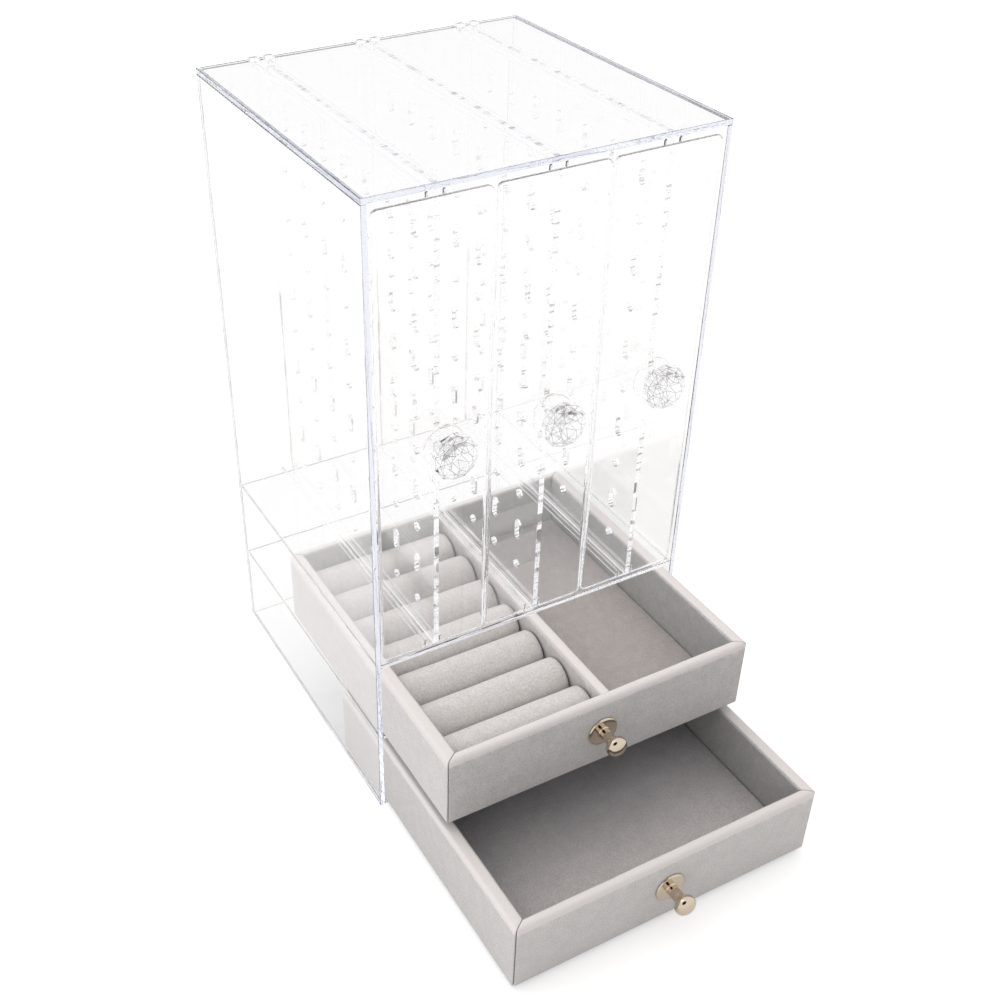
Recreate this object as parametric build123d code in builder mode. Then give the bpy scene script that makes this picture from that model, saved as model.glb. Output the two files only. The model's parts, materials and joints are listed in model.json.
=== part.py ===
from build123d import *
import os

# Earring display box: a clear acrylic case with three upright earring drawers over two velvet drawers.
# Millimetres. The origin is the middle of the case's footprint on the table, +Z is up, every drawer
# pulls out towards -Y, and +X is to the right of someone who faces the drawers.

os.makedirs("parts", exist_ok=True)

# Case of flat acrylic sheets
case_width = 158.0
case_depth = 158.0
case_height = 300.0
sheet = 2.5
edge_round = 0.4  # polished arris on the outer edges of the sheets
bay_height = 40.0  # clear height over the floor of each velvet drawer

# Front plates of the upright drawers
plate_sheet = 2.5
plate_side_gap = 1.1  # from the outer plates to the case's sides
plate_gap = 1.0  # between one plate and the next
plate_foot_gap = 0.8
plate_head_gap = 0.4
plate_corner = 3.0
plate_edge = 0.8

# Perforated earring boards, one behind each plate
board_sheet = 2.5
board_length = 148.0
board_shift = 1.7  # a board stands this far to the right of its plate's middle
board_foot_gap = 0.3
board_head_gap = 0.3
board_corner = 3.0
hole_width = 4.0
slot_height = 10.0
hole_pitch = 19.5
first_row_rise = 14.5  # from the board's foot up to the lowest row of holes
board_rim = 13.0  # least distance from a hole's middle to the board's other edges

# Guide ribs on the middle shelf and under the top panel
rib_width = 1.5
foot_rib_height = 3.8
head_rib_height = 2.5
rib_near_gap = 0.3  # from a board to the rib on its right
rib_far_gap = 2.7  # from a board to the rib on its left
rib_front_gap = 0.3  # from a plate's back to the ribs on the shelf
lug_width = 4.5
lug_length = 4.0
lug_rise = 0.9  # a lug stands this far above the top panel

# Faceted acrylic knobs of the upright drawers
disc_diameter = 18.5
disc_thickness = 1.8
facet_count = 12
crystal_neck = 5.0  # radii of the twelve-sided sections
crystal_girdle = 9.8
crystal_table = 6.2
crystal_flare_height = 5.2
crystal_girdle_height = 5.0
crystal_crown_height = 3.5
# The knobs are glued on by hand: each one's place from its board and above the middle of its plate
knob_places = {"left": (1.8, 0.5), "centre": (1.2, -0.2), "right": (-0.4, 3.3)}

# Velvet drawers
tray_side_gap = 0.5
tray_foot_gap = 0.3
tray_head_gap = 3.3
tray_length = 154.0
side_wall = 6.0
end_wall = 4.3
wall_round = 1.8
floor_board_thickness = 3.0
floor_pad_thickness = 6.7
pad_round = 0.6
upper_open = 58.0  # how far each velvet drawer stands pulled out
lower_open = 113.0

# Divider and ring rolls of the upper velvet drawer
divider_thickness = 4.6
divider_x = 3.4
divider_drop = 1.0  # from the walls' tops down to the divider's top
divider_round = 1.2
roll_count = 7
roll_gap = 0.3
roll_end_gap = 0.3
roll_end_round = 2.0
roll_flat = 0.5  # a roll is pressed flat on the pad by this much

# Turned metal knobs of the velvet drawers
knob_plate_diameter = 14.5
knob_plate_thickness = 1.2
knob_foot_radius = 3.6
knob_neck_radius = 2.4
knob_head_radius = 4.85
knob_neck_end = 6.2  # distances along the knob from the drawer's front face
knob_head_start = 8.2
knob_rim_end = 11.0
knob_length = 14.0
screw_diameter = 3.0
screw_hole_gap = 0.15  # all round the screw's shank in the wall and the base plate
thread_gap = 0.03  # all round the screw's shank in the knob
screw_head_diameter = 6.0
screw_head_height = 1.9
screw_head_gap = 0.3  # all round the screw's head in its counterbore
screw_grip = 5.5  # length of the shank inside the knob

# Places worked out from the driving dimensions
side_x = case_width / 2
inner_x = side_x - sheet
front_y = -case_depth / 2
back_y = case_depth / 2
inner_back_y = back_y - sheet
roof_z = case_height - sheet
lower_floor_z = sheet
lower_shelf_z = lower_floor_z + bay_height
upper_floor_z = lower_shelf_z + sheet
mid_shelf_z = upper_floor_z + bay_height
gallery_z = mid_shelf_z + sheet

plate_width = (2 * inner_x - 2 * plate_side_gap - 2 * plate_gap) / 3
plate_pitch = plate_width + plate_gap
plate_back_y = front_y + plate_sheet
plate_z0 = gallery_z + plate_foot_gap
plate_z1 = roof_z - head_rib_height - plate_head_gap
plate_mid_z = (plate_z0 + plate_z1) / 2
drawer_places = {"left": -plate_pitch, "centre": 0.0, "right": plate_pitch}

board_z0 = gallery_z + board_foot_gap
board_z1 = roof_z - board_head_gap
board_height = board_z1 - board_z0
rib_right = board_sheet / 2 + rib_near_gap + rib_width / 2
rib_left = -(board_sheet / 2 + rib_far_gap + rib_width / 2)
rib_places = [x + board_shift + side for x in drawer_places.values() for side in (rib_left, rib_right)]

tray_x = inner_x - tray_side_gap
tray_inner_x = tray_x - side_wall
tray_height = bay_height - tray_foot_gap - tray_head_gap
upper_tray_z = upper_floor_z + tray_foot_gap
lower_tray_z = lower_floor_z + tray_foot_gap
tray_floor_rise = floor_board_thickness + floor_pad_thickness


def save(piece, label):
    """Name a finished piece and write its STEP file."""
    piece.part.label = label
    export_step(piece.part, f"parts/{label}.step")


def slab(x0, x1, y0, y1, z0, z1):
    """A flat rectangular board between two opposite corners."""
    with BuildPart() as board:
        with BuildSketch(Plane.XY.offset(z0)):
            with Locations(((x0 + x1) / 2, (y0 + y1) / 2)):
                Rectangle(x1 - x0, y1 - y0)
        extrude(amount=z1 - z0)
    return board


# The top panel lies over the four walls. Six notches in its rear edge take the lugs of the guide ribs.
with BuildPart() as top_panel:
    with BuildSketch(Plane.XY.offset(roof_z)):
        Rectangle(case_width, case_depth)
    extrude(amount=sheet)
    fillet(top_panel.edges().filter_by(Axis.Z), radius=edge_round)
    fillet(top_panel.faces().sort_by(Axis.Z)[-1].edges(), radius=edge_round)
    with BuildSketch(Plane.XY.offset(roof_z)):
        with Locations(*[(x, back_y - lug_length / 2) for x in rib_places]):
            Rectangle(lug_width, lug_length)
    extrude(amount=sheet, mode=Mode.SUBTRACT)
save(top_panel, "top_panel")

# The two side panels stand on the table and reach from the front to the back.
for name, sign in (("left_side", -1), ("right_side", 1)):
    with BuildPart() as side_panel:
        with BuildSketch(Plane.XY):
            with Locations((sign * (side_x - sheet / 2), 0)):
                Rectangle(sheet, case_depth)
        extrude(amount=roof_z)
        outer_face = side_panel.faces().sort_by(Axis.X)[0 if sign < 0 else -1]
        fillet(outer_face.edges().filter_by(Axis.Z), radius=edge_round)
    save(side_panel, name)

# The back panel stands between the sides.
back_panel = slab(-inner_x, inner_x, inner_back_y, back_y, 0, roof_z)
save(back_panel, "back_panel")

# The base and the two shelves lie between the sides and in front of the back panel.
for name, floor_z in (("base_panel", 0), ("lower_shelf", lower_shelf_z), ("mid_shelf", mid_shelf_z)):
    shelf = slab(-inner_x, inner_x, front_y, inner_back_y, floor_z, floor_z + sheet)
    save(shelf, name)

# Two low ribs on the middle shelf guide the foot of each earring board. They start behind the plates.
with BuildPart() as bottom_rails:
    rib_y0 = plate_back_y + rib_front_gap
    with BuildSketch(Plane.XY.offset(gallery_z)):
        with Locations(*[(x, (rib_y0 + inner_back_y) / 2) for x in rib_places]):
            Rectangle(rib_width, inner_back_y - rib_y0)
    extrude(amount=foot_rib_height)
save(bottom_rails, "bottom_rails")

# Two ribs under the top panel guide the head of each board. Each one ends in a lug that rises through
# its notch over the back panel.
with BuildPart() as top_rails:
    with BuildSketch(Plane.XY.offset(roof_z)):
        with Locations(*[(x, (front_y + inner_back_y) / 2) for x in rib_places]):
            Rectangle(rib_width, inner_back_y - front_y)
    extrude(amount=-head_rib_height)
    with BuildSketch(Plane.XY.offset(roof_z)):
        with Locations(*[(x, back_y - lug_length / 2) for x in rib_places]):
            Rectangle(lug_width, lug_length)
    extrude(amount=sheet + lug_rise)
save(top_rails, "top_rails")


def front_plate(x):
    """The rounded pane that closes one upright drawer, with softened front edges."""
    with BuildPart() as plate:
        with BuildSketch(Plane.XZ.offset(-plate_back_y)):
            with Locations((x, plate_mid_z)):
                RectangleRounded(plate_width, plate_z1 - plate_z0, plate_corner)
        extrude(amount=plate_sheet)
        fillet(plate.faces().sort_by(Axis.Y)[0].edges(), radius=plate_edge)
    return plate


def earring_board(x):
    """An upright board with rows of round holes and rows of upright slots by turns.

    Columns fill the length between the rims and lie evenly in it. Rows start at first_row_rise
    above the foot and go up by one pitch each, while they stay a rim below the head.
    """
    columns = int((board_length - 2 * board_rim) / hole_pitch) + 1
    rows = int((board_height - first_row_rise - board_rim) / hole_pitch) + 1
    hole_rows = (rows + 1) // 2
    slot_rows = rows // 2
    mid_y = plate_back_y + board_length / 2
    hole_mid_z = board_z0 + first_row_rise + hole_pitch * (hole_rows - 1)
    slot_mid_z = board_z0 + first_row_rise + hole_pitch * slot_rows
    with BuildPart() as board:
        with BuildSketch(Plane.YZ.offset(x - board_sheet / 2)) as outline:
            with Locations((mid_y, (board_z0 + board_z1) / 2)):
                Rectangle(board_length, board_height)
            fillet(outline.vertices().group_by(Axis.X)[-1], radius=board_corner)
            with Locations((mid_y, hole_mid_z)):
                with GridLocations(hole_pitch, 2 * hole_pitch, columns, hole_rows):
                    Circle(hole_width / 2, mode=Mode.SUBTRACT)
            with Locations((mid_y, slot_mid_z)):
                with GridLocations(hole_pitch, 2 * hole_pitch, columns, slot_rows):
                    SlotOverall(slot_height, hole_width, rotation=90, mode=Mode.SUBTRACT)
        extrude(amount=board_sheet)
    return board


def knob_disc(x, z):
    """The round seat of a faceted knob on the front of its plate."""
    with BuildPart() as disc:
        with BuildSketch(Plane.XZ.offset(-front_y)):
            with Locations((x, z)):
                Circle(disc_diameter / 2)
        extrude(amount=disc_thickness)
        fillet(disc.faces().sort_by(Axis.Y)[0].edges(), radius=edge_round)
    return disc


def crystal_knob(x, z):
    """A faceted knob: a flare from the neck out to the girdle, a straight girdle, a crown in to the table."""
    seat = Plane(origin=(x, front_y - disc_thickness, z), x_dir=(1, 0, 0), z_dir=(0, -1, 0))
    girdle = seat.offset(crystal_flare_height)
    crown = girdle.offset(crystal_girdle_height)
    table = crown.offset(crystal_crown_height)
    with BuildPart() as crystal:
        with BuildSketch(girdle):
            RegularPolygon(crystal_girdle, facet_count)
        extrude(amount=crystal_girdle_height)
        with BuildSketch(seat):
            RegularPolygon(crystal_neck, facet_count)
        with BuildSketch(girdle):
            RegularPolygon(crystal_girdle, facet_count)
        loft(ruled=True)
        with BuildSketch(crown):
            RegularPolygon(crystal_girdle, facet_count)
        with BuildSketch(table):
            RegularPolygon(crystal_table, facet_count)
        loft(ruled=True)
    return crystal


# Each upright drawer is a plate, a board glued to its back, and a disc and a crystal glued to its front.
for place, plate_x in drawer_places.items():
    save(front_plate(plate_x), f"{place}_front_plate")
    save(earring_board(plate_x + board_shift), f"{place}_earring_board")
    aside, above = knob_places[place]
    save(knob_disc(plate_x + board_shift + aside, plate_mid_z + above), f"{place}_knob_disc")
    save(crystal_knob(plate_x + board_shift + aside, plate_mid_z + above), f"{place}_crystal_knob")


def end_wall_piece(outer_y, inward, z0):
    """The front or back wall of a velvet drawer, mitred at both ends, with a rounded top edge.

    inward is +1 for the front wall, whose inner face lies further back, and -1 for the back wall.
    """
    inner_y = outer_y + inward * end_wall
    with BuildPart() as wall:
        with BuildSketch(Plane.XY.offset(z0)):
            with BuildLine():
                Polyline(
                    (-tray_x, outer_y),
                    (tray_x, outer_y),
                    (tray_inner_x, inner_y),
                    (-tray_inner_x, inner_y),
                    close=True,
                )
            make_face()
        extrude(amount=tray_height)
        top_edges = wall.faces().sort_by(Axis.Z)[-1].edges().filter_by(Axis.X)
        fillet(top_edges, radius=min(wall_round, 0.45 * end_wall))
    return wall


def side_wall_piece(sign, wall_front_y, z0):
    """The left (-1) or right (+1) wall of a velvet drawer, mitred to meet the front and back walls."""
    wall_back_y = wall_front_y + tray_length
    with BuildPart() as wall:
        with BuildSketch(Plane.XY.offset(z0)):
            with BuildLine():
                Polyline(
                    (sign * tray_x, wall_front_y),
                    (sign * tray_inner_x, wall_front_y + end_wall),
                    (sign * tray_inner_x, wall_back_y - end_wall),
                    (sign * tray_x, wall_back_y),
                    close=True,
                )
            make_face()
        extrude(amount=tray_height)
        top_edges = wall.faces().sort_by(Axis.Z)[-1].edges().filter_by(Axis.Y)
        fillet(top_edges, radius=min(wall_round, 0.45 * side_wall))
    return wall


def screw_plane(front_face_y, z0):
    """The plane of a drawer's front face at its knob, looking out towards the user."""
    return Plane(origin=(0, front_face_y, z0 + tray_height / 2), x_dir=(1, 0, 0), z_dir=(0, -1, 0))


def drilled_front_wall(front_face_y, z0):
    """The front wall with the knob's screw hole, counterbored from inside for the screw's head."""
    wall = end_wall_piece(front_face_y, 1, z0)
    inner_face = screw_plane(front_face_y, z0).offset(-end_wall)
    with wall:
        with Locations(Plane(inner_face.origin, x_dir=(1, 0, 0), z_dir=(0, 1, 0))):
            CounterBoreHole(
                radius=screw_diameter / 2 + screw_hole_gap,
                counter_bore_radius=screw_head_diameter / 2 + screw_head_gap,
                counter_bore_depth=screw_head_height,
                depth=end_wall,
            )
    return wall


def knob_base_plate(front_face_y, z0):
    """The round washer-like plate between the drawer's front and the knob."""
    with BuildPart() as plate:
        with BuildSketch(screw_plane(front_face_y, z0)):
            Circle(knob_plate_diameter / 2)
            Circle(screw_diameter / 2 + screw_hole_gap, mode=Mode.SUBTRACT)
        extrude(amount=knob_plate_thickness)
        rim = plate.faces().sort_by(Axis.Y)[0].edges().sort_by(SortBy.RADIUS)[-1]
        fillet(rim, radius=0.6 * knob_plate_thickness)
    return plate


def turned_knob(front_face_y, z0):
    """A mushroom knob turned about Y: a foot that narrows to the neck, then a rimmed head with a dome.

    The foot's curve runs into the neck along the axis, and the dome's arc is square to the axis at its tip.
    """
    knob_z = z0 + tray_height / 2
    foot_y = front_face_y - knob_plate_thickness
    neck_y = front_face_y - knob_neck_end
    head_y = front_face_y - knob_head_start
    rim_y = front_face_y - knob_rim_end
    tip_y = front_face_y - knob_length
    with BuildPart() as knob:
        with BuildSketch(Plane.XY.offset(knob_z)):
            with BuildLine():
                foot = Line((0, foot_y), (knob_foot_radius, foot_y))
                waist = TangentArc((knob_neck_radius, neck_y), foot @ 1, tangent=(0, 1))
                flare = Line(waist @ 0, (knob_head_radius, head_y))
                rim = Line(flare @ 1, (knob_head_radius, rim_y))
                TangentArc((0, tip_y), rim @ 1, tangent=(1, 0))
                Line((0, tip_y), (0, foot_y))
            make_face()
        revolve(axis=Axis((0, foot_y, knob_z), (0, 1, 0)))
        with BuildSketch(screw_plane(front_face_y, z0).offset(knob_plate_thickness)):
            Circle(screw_diameter / 2 + thread_gap)
        extrude(amount=screw_grip + thread_gap, mode=Mode.SUBTRACT)
    return knob


def knob_screw(front_face_y, z0):
    """The screw that holds the knob: a pan head sunk in the wall's inner face and a plain shank."""
    wall_inner = screw_plane(front_face_y, z0).offset(-end_wall)
    with BuildPart() as screw:
        with BuildSketch(wall_inner):
            Circle(screw_head_diameter / 2)
        extrude(amount=screw_head_height)
        fillet(screw.faces().sort_by(Axis.Y)[-1].edges(), radius=0.25 * screw_head_height)
        with BuildSketch(wall_inner):
            Circle(screw_diameter / 2)
        extrude(amount=end_wall + knob_plate_thickness + screw_grip)
    return screw


def velvet_drawer(name, pulled_out, z0):
    """The walls, floor board, lining pad and knob of one velvet drawer, pulled out from its bay."""
    front_face_y = front_y - pulled_out
    inner_front_y = front_face_y + end_wall
    inner_back = front_face_y + tray_length - end_wall
    board_top = z0 + floor_board_thickness
    pad_top = z0 + tray_floor_rise
    save(drilled_front_wall(front_face_y, z0), f"{name}_front_wall")
    save(end_wall_piece(front_face_y + tray_length, -1, z0), f"{name}_back_wall")
    save(side_wall_piece(-1, front_face_y, z0), f"{name}_left_wall")
    save(side_wall_piece(1, front_face_y, z0), f"{name}_right_wall")
    floor_board = slab(-tray_inner_x, tray_inner_x, inner_front_y, inner_back, z0, board_top)
    save(floor_board, f"{name}_floor_board")
    floor_pad = slab(-tray_inner_x, tray_inner_x, inner_front_y, inner_back, board_top, pad_top)
    with floor_pad:
        fillet(floor_pad.faces().sort_by(Axis.Z)[-1].edges(), radius=pad_round)
    save(floor_pad, f"{name}_floor_pad")
    save(knob_base_plate(front_face_y, z0), f"{name}_knob_plate")
    save(turned_knob(front_face_y, z0), f"{name}_knob")
    save(knob_screw(front_face_y, z0), f"{name}_knob_screw")


velvet_drawer("upper_drawer", upper_open, upper_tray_z)
velvet_drawer("lower_drawer", lower_open, lower_tray_z)

# The upper drawer's divider stands on the pad and keeps the ring rolls apart from the open compartment.
upper_inner_front = front_y - upper_open + end_wall
upper_inner_length = tray_length - 2 * end_wall
upper_inner_back = upper_inner_front + upper_inner_length
upper_pad_z = upper_tray_z + tray_floor_rise
divider_left = divider_x - divider_thickness / 2
divider_right = divider_x + divider_thickness / 2
divider_top = upper_tray_z + tray_height - divider_drop
divider = slab(divider_left, divider_right, upper_inner_front, upper_inner_back, upper_pad_z, divider_top)
with divider:
    divider_edges = divider.faces().sort_by(Axis.Z)[-1].edges().filter_by(Axis.Y)
    fillet(divider_edges, radius=min(divider_round, 0.45 * divider_thickness))
save(divider, "upper_drawer_divider")

# Seven soft rolls fill the left half from the front wall to the back wall. Rings are pushed down
# between them. Each roll is a cylinder with pillowed ends, pressed flat where it lies on the pad.
roll_pitch = upper_inner_length / roll_count
roll_radius = (roll_pitch - roll_gap) / 2
roll_axis_z = upper_pad_z + roll_radius - roll_flat
roll_left = -tray_inner_x + roll_end_gap
roll_length = divider_left - roll_end_gap - roll_left
for number in range(roll_count):
    roll_y = upper_inner_front + (number + 0.5) * roll_pitch
    with BuildPart() as ring_roll:
        with BuildSketch(Plane(origin=(roll_left, roll_y, roll_axis_z), x_dir=(0, 1, 0), z_dir=(1, 0, 0))):
            Circle(roll_radius)
        extrude(amount=roll_length)
        fillet(ring_roll.edges().filter_by(GeomType.CIRCLE), radius=min(roll_end_round, 0.4 * roll_radius))
        split(bisect_by=Plane.XY.offset(upper_pad_z), keep=Keep.TOP)
    save(ring_roll, f"ring_roll_{number + 1}")
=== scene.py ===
# %% [markdown]
# # An earring display box with drawers
# The object is a tower of clear acrylic sheets. Behind three upright panes hang perforated boards for
# earrings, and under them two drawers wrapped in velvet slide out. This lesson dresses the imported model:
# it keeps every rigid sheet where it is, gives it an optical material, and replaces the soft and turned
# pieces with surfaces worked out from their formulas.

# %% Load the frame
import bmesh
import bpy
import json
import numpy as np
from mathutils import Matrix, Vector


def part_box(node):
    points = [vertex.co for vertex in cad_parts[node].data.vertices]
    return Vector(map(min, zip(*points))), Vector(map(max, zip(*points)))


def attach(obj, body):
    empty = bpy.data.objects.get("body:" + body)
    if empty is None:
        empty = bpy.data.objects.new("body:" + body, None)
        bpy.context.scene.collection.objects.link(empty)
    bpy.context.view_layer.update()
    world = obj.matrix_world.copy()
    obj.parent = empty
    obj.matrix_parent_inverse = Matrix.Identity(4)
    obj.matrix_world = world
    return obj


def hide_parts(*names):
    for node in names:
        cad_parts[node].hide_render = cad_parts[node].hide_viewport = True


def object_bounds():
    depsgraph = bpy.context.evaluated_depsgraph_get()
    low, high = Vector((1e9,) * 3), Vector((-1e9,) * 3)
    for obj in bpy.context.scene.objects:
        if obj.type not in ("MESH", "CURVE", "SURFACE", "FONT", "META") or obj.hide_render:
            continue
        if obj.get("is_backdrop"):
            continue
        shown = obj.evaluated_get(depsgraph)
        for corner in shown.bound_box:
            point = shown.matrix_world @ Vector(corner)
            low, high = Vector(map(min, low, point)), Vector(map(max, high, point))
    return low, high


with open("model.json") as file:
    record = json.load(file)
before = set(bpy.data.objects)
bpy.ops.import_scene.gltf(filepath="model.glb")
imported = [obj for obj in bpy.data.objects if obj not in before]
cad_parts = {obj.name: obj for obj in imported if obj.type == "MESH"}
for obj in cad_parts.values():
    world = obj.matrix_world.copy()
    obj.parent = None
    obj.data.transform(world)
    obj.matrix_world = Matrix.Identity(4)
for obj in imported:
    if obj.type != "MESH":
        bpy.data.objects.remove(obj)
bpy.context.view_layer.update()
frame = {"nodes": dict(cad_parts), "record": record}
MM = 0.001
NODES = frame["nodes"]
DRAWERS = ("upper_drawer", "lower_drawer")
print("nodes:", len(NODES))

# %% [markdown]
# ## Helpers
# Every new piece is a grid of points. One parameter runs along the rows and the other along the columns,
# so a single formula on whole arrays gives the shape, and the quads follow from the grid's own order.
# Colours are written as sRGB hex values, the way a designer reads them off a chart, and one function turns
# them into the linear light that a shader needs.

# %% Colours and nodes
def hex_colour(code):
    """Linear RGBA of an sRGB hex colour: c / 12.92 below 0.04045, else ((c + 0.055) / 1.055) ** 2.4."""
    srgb = np.array([int(code[i:i + 2], 16) for i in (1, 3, 5)]) / 255
    linear = np.where(srgb <= 0.04045, srgb / 12.92, ((srgb + 0.055) / 1.055) ** 2.4)
    return (*linear.tolist(), 1.0)


def add(tree, kind, sockets=None, **settings):
    """Add one node, set its attributes, and fill its input sockets with values or links."""
    node = tree.nodes.new(kind)
    for name, value in settings.items():
        setattr(node, name, value)
    for name, value in (sockets or {}).items():
        if isinstance(value, bpy.types.NodeSocket):
            tree.links.new(value, node.inputs[name])
        else:
            node.inputs[name].default_value = value
    return node


def stand(thing, side, top, behind, place):
    """Put an object at a place, with its local X, Y and Z axes along the three given directions."""
    turn = np.eye(4)
    turn[:3] = np.stack([side, top, behind, place], axis=1)
    thing.matrix_world = Matrix(turn.tolist())


def new_material(name):
    """An empty node material and its output node."""
    material = bpy.data.materials.new(name)
    material.use_nodes = True
    material.node_tree.nodes.clear()
    return material, material.node_tree, material.node_tree.nodes.new("ShaderNodeOutputMaterial")


print("the grey #808080 as linear light:", round(hex_colour("#808080")[0], 3))

# %% Meshes from grids
def grid_quads(rows, columns, ring=False):
    """Quads of a grid stored row by row. With ring, the last column joins the first again."""
    last = columns if ring else columns - 1
    row, column = np.meshgrid(np.arange(rows - 1), np.arange(last), indexing="ij")
    beside = (column + 1) % columns
    corners = (row * columns + column, row * columns + beside,
               (row + 1) * columns + beside, (row + 1) * columns + column)
    return np.stack(corners, axis=-1).reshape(-1, 4)


def build_piece(name, points, faces, material, body, replaced=(), smooth=True, nap_and_painted_light=None):
    """A mesh object at the origin that rides on a body and stands for the named nodes.

    nap, if given, is stored for each point: 0 where the cloth's pile is pressed flat, 1 where it stands up,
    and it also holds painted light and shade, higher where more light falls.
    """
    mesh = bpy.data.meshes.new(name)
    mesh.from_pydata(np.asarray(points).reshape(-1, 3).tolist(), [], [list(map(int, f)) for f in faces])
    mesh.shade_smooth() if smooth else mesh.shade_flat()
    mesh.materials.append(material)
    if nap_and_painted_light is not None:
        stored = mesh.attributes.new("nap_and_painted_light", "FLOAT", "POINT")
        stored.data.foreach_set("value", np.broadcast_to(nap_and_painted_light, len(mesh.vertices)).astype(np.float32))
    piece = bpy.data.objects.new(name, mesh)
    bpy.context.scene.collection.objects.link(piece)
    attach(piece, body)
    if replaced:
        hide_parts(*replaced)
    return piece


def ripple(points, wavelength, seed, waves=16):
    """A smooth random height for each point, mostly from -1 to 1.

    It is the sum of sine waves of one wavelength with random headings and phases, over the root of
    half their number.
    """
    draw = np.random.default_rng(seed)
    heading = draw.normal(size=(waves, 3))
    heading /= np.linalg.norm(heading, axis=1, keepdims=True)
    phase = draw.uniform(0, 2 * np.pi, waves)
    turns = points @ heading.T * (2 * np.pi / wavelength) + phase
    return np.sin(turns).sum(axis=-1) / np.sqrt(waves / 2) / 2


print("3 rows of 4 points have", len(grid_quads(3, 4)), "quads, and closed", len(grid_quads(3, 4, True)))

# %% [markdown]
# ## Camera
# The camera stands left of the box and looks down on it. Its place was solved from the box's edges. The
# aim point, the distance and two angles say it all, and a roll of about half a degree gives the upright
# edges the slight lean that they have in the picture.

# %% Camera
AZIMUTH, ELEVATION, ROLL = np.radians([-27.5, 35.73, -0.61])
AIM = np.array([-19.13, 0.0, 105.08]) * MM
DISTANCE = 637.45 * MM
FOCAL_SHARE = 1.3273  # focal length over the width of the frame
SHIFT = (0.087, 0.0006)
SENSOR_MM = 36.0

camera_data = bpy.data.cameras.new("camera")
camera = bpy.data.objects.new("camera", camera_data)
bpy.context.scene.collection.objects.link(camera)
bpy.context.scene.camera = camera
back = np.array([np.sin(AZIMUTH) * np.cos(ELEVATION), -np.cos(AZIMUTH) * np.cos(ELEVATION),
                 np.sin(ELEVATION)])
right = np.array([np.cos(AZIMUTH), np.sin(AZIMUTH), 0.0])
above = np.cross(back, right)
rolled_right = right * np.cos(ROLL) + above * np.sin(ROLL)
rolled_above = above * np.cos(ROLL) - right * np.sin(ROLL)
stand(camera, rolled_right, rolled_above, back, AIM + back * DISTANCE)
camera_data.sensor_width = SENSOR_MM
camera_data.lens = camera_data.sensor_width * FOCAL_SHARE
camera_data.shift_x, camera_data.shift_y = SHIFT
camera_data.clip_start, camera_data.clip_end = 0.01, 20.0
print("camera", round(DISTANCE, 3), "m from its aim, lens", round(camera_data.lens, 1), "mm")

# %% [markdown]
# ## Studio
# The box stands on a white table in a white room. Clear acrylic only shows by what it bends and mirrors,
# so the room matters as much as the lamps. The room lights the velvet more from its bright side, and what the
# acrylic and the nickel mirror is white all round, with one stretch of ceiling slightly darker and one dark
# lamp head, which give the edges and the facets something darker to show.

# %% The room
scene = bpy.context.scene
scene.view_settings.view_transform = "Standard"
scene.cycles.max_bounces = 96
scene.cycles.transmission_bounces = 64
scene.cycles.glossy_bounces = 64
scene.cycles.diffuse_bounces = 1

# The room's light is ROOM_MEAN + ROOM_SWING * (direction . BRIGHT_SIDE) + ROOM_RISE * height.
BRIGHT_SIDE = np.array([-0.55, 0.83, 0.0])
ROOM_MEAN, ROOM_SWING, ROOM_RISE = 0.74, 0.40, 0.24
LOW_LIGHT, HIGH_LIGHT, HIGH_FROM = "#F0F4FC", "#FFFDFB", 0.6
MIRRORED_STRENGTH = 1.1
# Each dark place: its direction, the cosines where its rim starts and its core is full, and its colour.
DARK_PLACES = {"ceiling": ((0.37, 0.72, 0.55), 0.80, 0.98, "#E6E6EA"),
               "lamp_head": ((-0.35, -0.52, 0.78), 0.91, 0.94, "#26262A")}

world = bpy.data.worlds.new("studio")
scene.world = world
world.use_nodes = True
room = world.node_tree
room.nodes.clear()
direction = add(room, "ShaderNodeTexCoord").outputs["Generated"]
up_part = add(room, "ShaderNodeSeparateXYZ", {"Vector": direction}).outputs["Z"]
toward = add(room, "ShaderNodeVectorMath", {0: direction, 1: BRIGHT_SIDE.tolist()}, operation="DOT_PRODUCT")
level = add(room, "ShaderNodeMath", {0: toward.outputs["Value"], 1: ROOM_SWING, 2: ROOM_MEAN},
            operation="MULTIPLY_ADD")
level = add(room, "ShaderNodeMath", {0: up_part, 1: ROOM_RISE, 2: level.outputs[0]},
            operation="MULTIPLY_ADD")
tint = add(room, "ShaderNodeValToRGB", {"Fac": up_part})
tint.color_ramp.elements[0].color = hex_colour(LOW_LIGHT)
tint.color_ramp.elements[1].color = hex_colour(HIGH_LIGHT)
tint.color_ramp.elements[1].position = HIGH_FROM
soft = add(room, "ShaderNodeBackground", {"Color": tint.outputs["Color"], "Strength": level.outputs[0]})
colour = add(room, "ShaderNodeRGB").outputs[0]
colour.default_value = (1, 1, 1, 1)
for centre, rim, core, tone in DARK_PLACES.values():
    near = add(room, "ShaderNodeVectorMath", {0: direction, 1: centre}, operation="DOT_PRODUCT")
    share = add(room, "ShaderNodeMapRange", {"Value": near.outputs["Value"], "From Min": rim,
                                             "From Max": core})
    ramp = add(room, "ShaderNodeValToRGB", {"Fac": share.outputs[0]})
    ramp.color_ramp.elements[0].color = (1, 1, 1, 1)
    ramp.color_ramp.elements[1].color = hex_colour(tone)
    colour = add(room, "ShaderNodeVectorMath", {0: colour, 1: ramp.outputs["Color"]},
                 operation="MULTIPLY").outputs[0]
bent = add(room, "ShaderNodeBackground", {"Color": colour, "Strength": MIRRORED_STRENGTH})
path = add(room, "ShaderNodeLightPath").outputs
mirrored = add(room, "ShaderNodeMath", {0: path["Is Glossy Ray"], 1: path["Is Transmission Ray"]},
               operation="MAXIMUM")
lit = add(room, "ShaderNodeMixShader", {0: mirrored.outputs[0], 1: soft.outputs[0], 2: bent.outputs[0]})
shown = add(room, "ShaderNodeBackground", {"Color": (1, 1, 1, 1), "Strength": 1.0})
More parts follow.
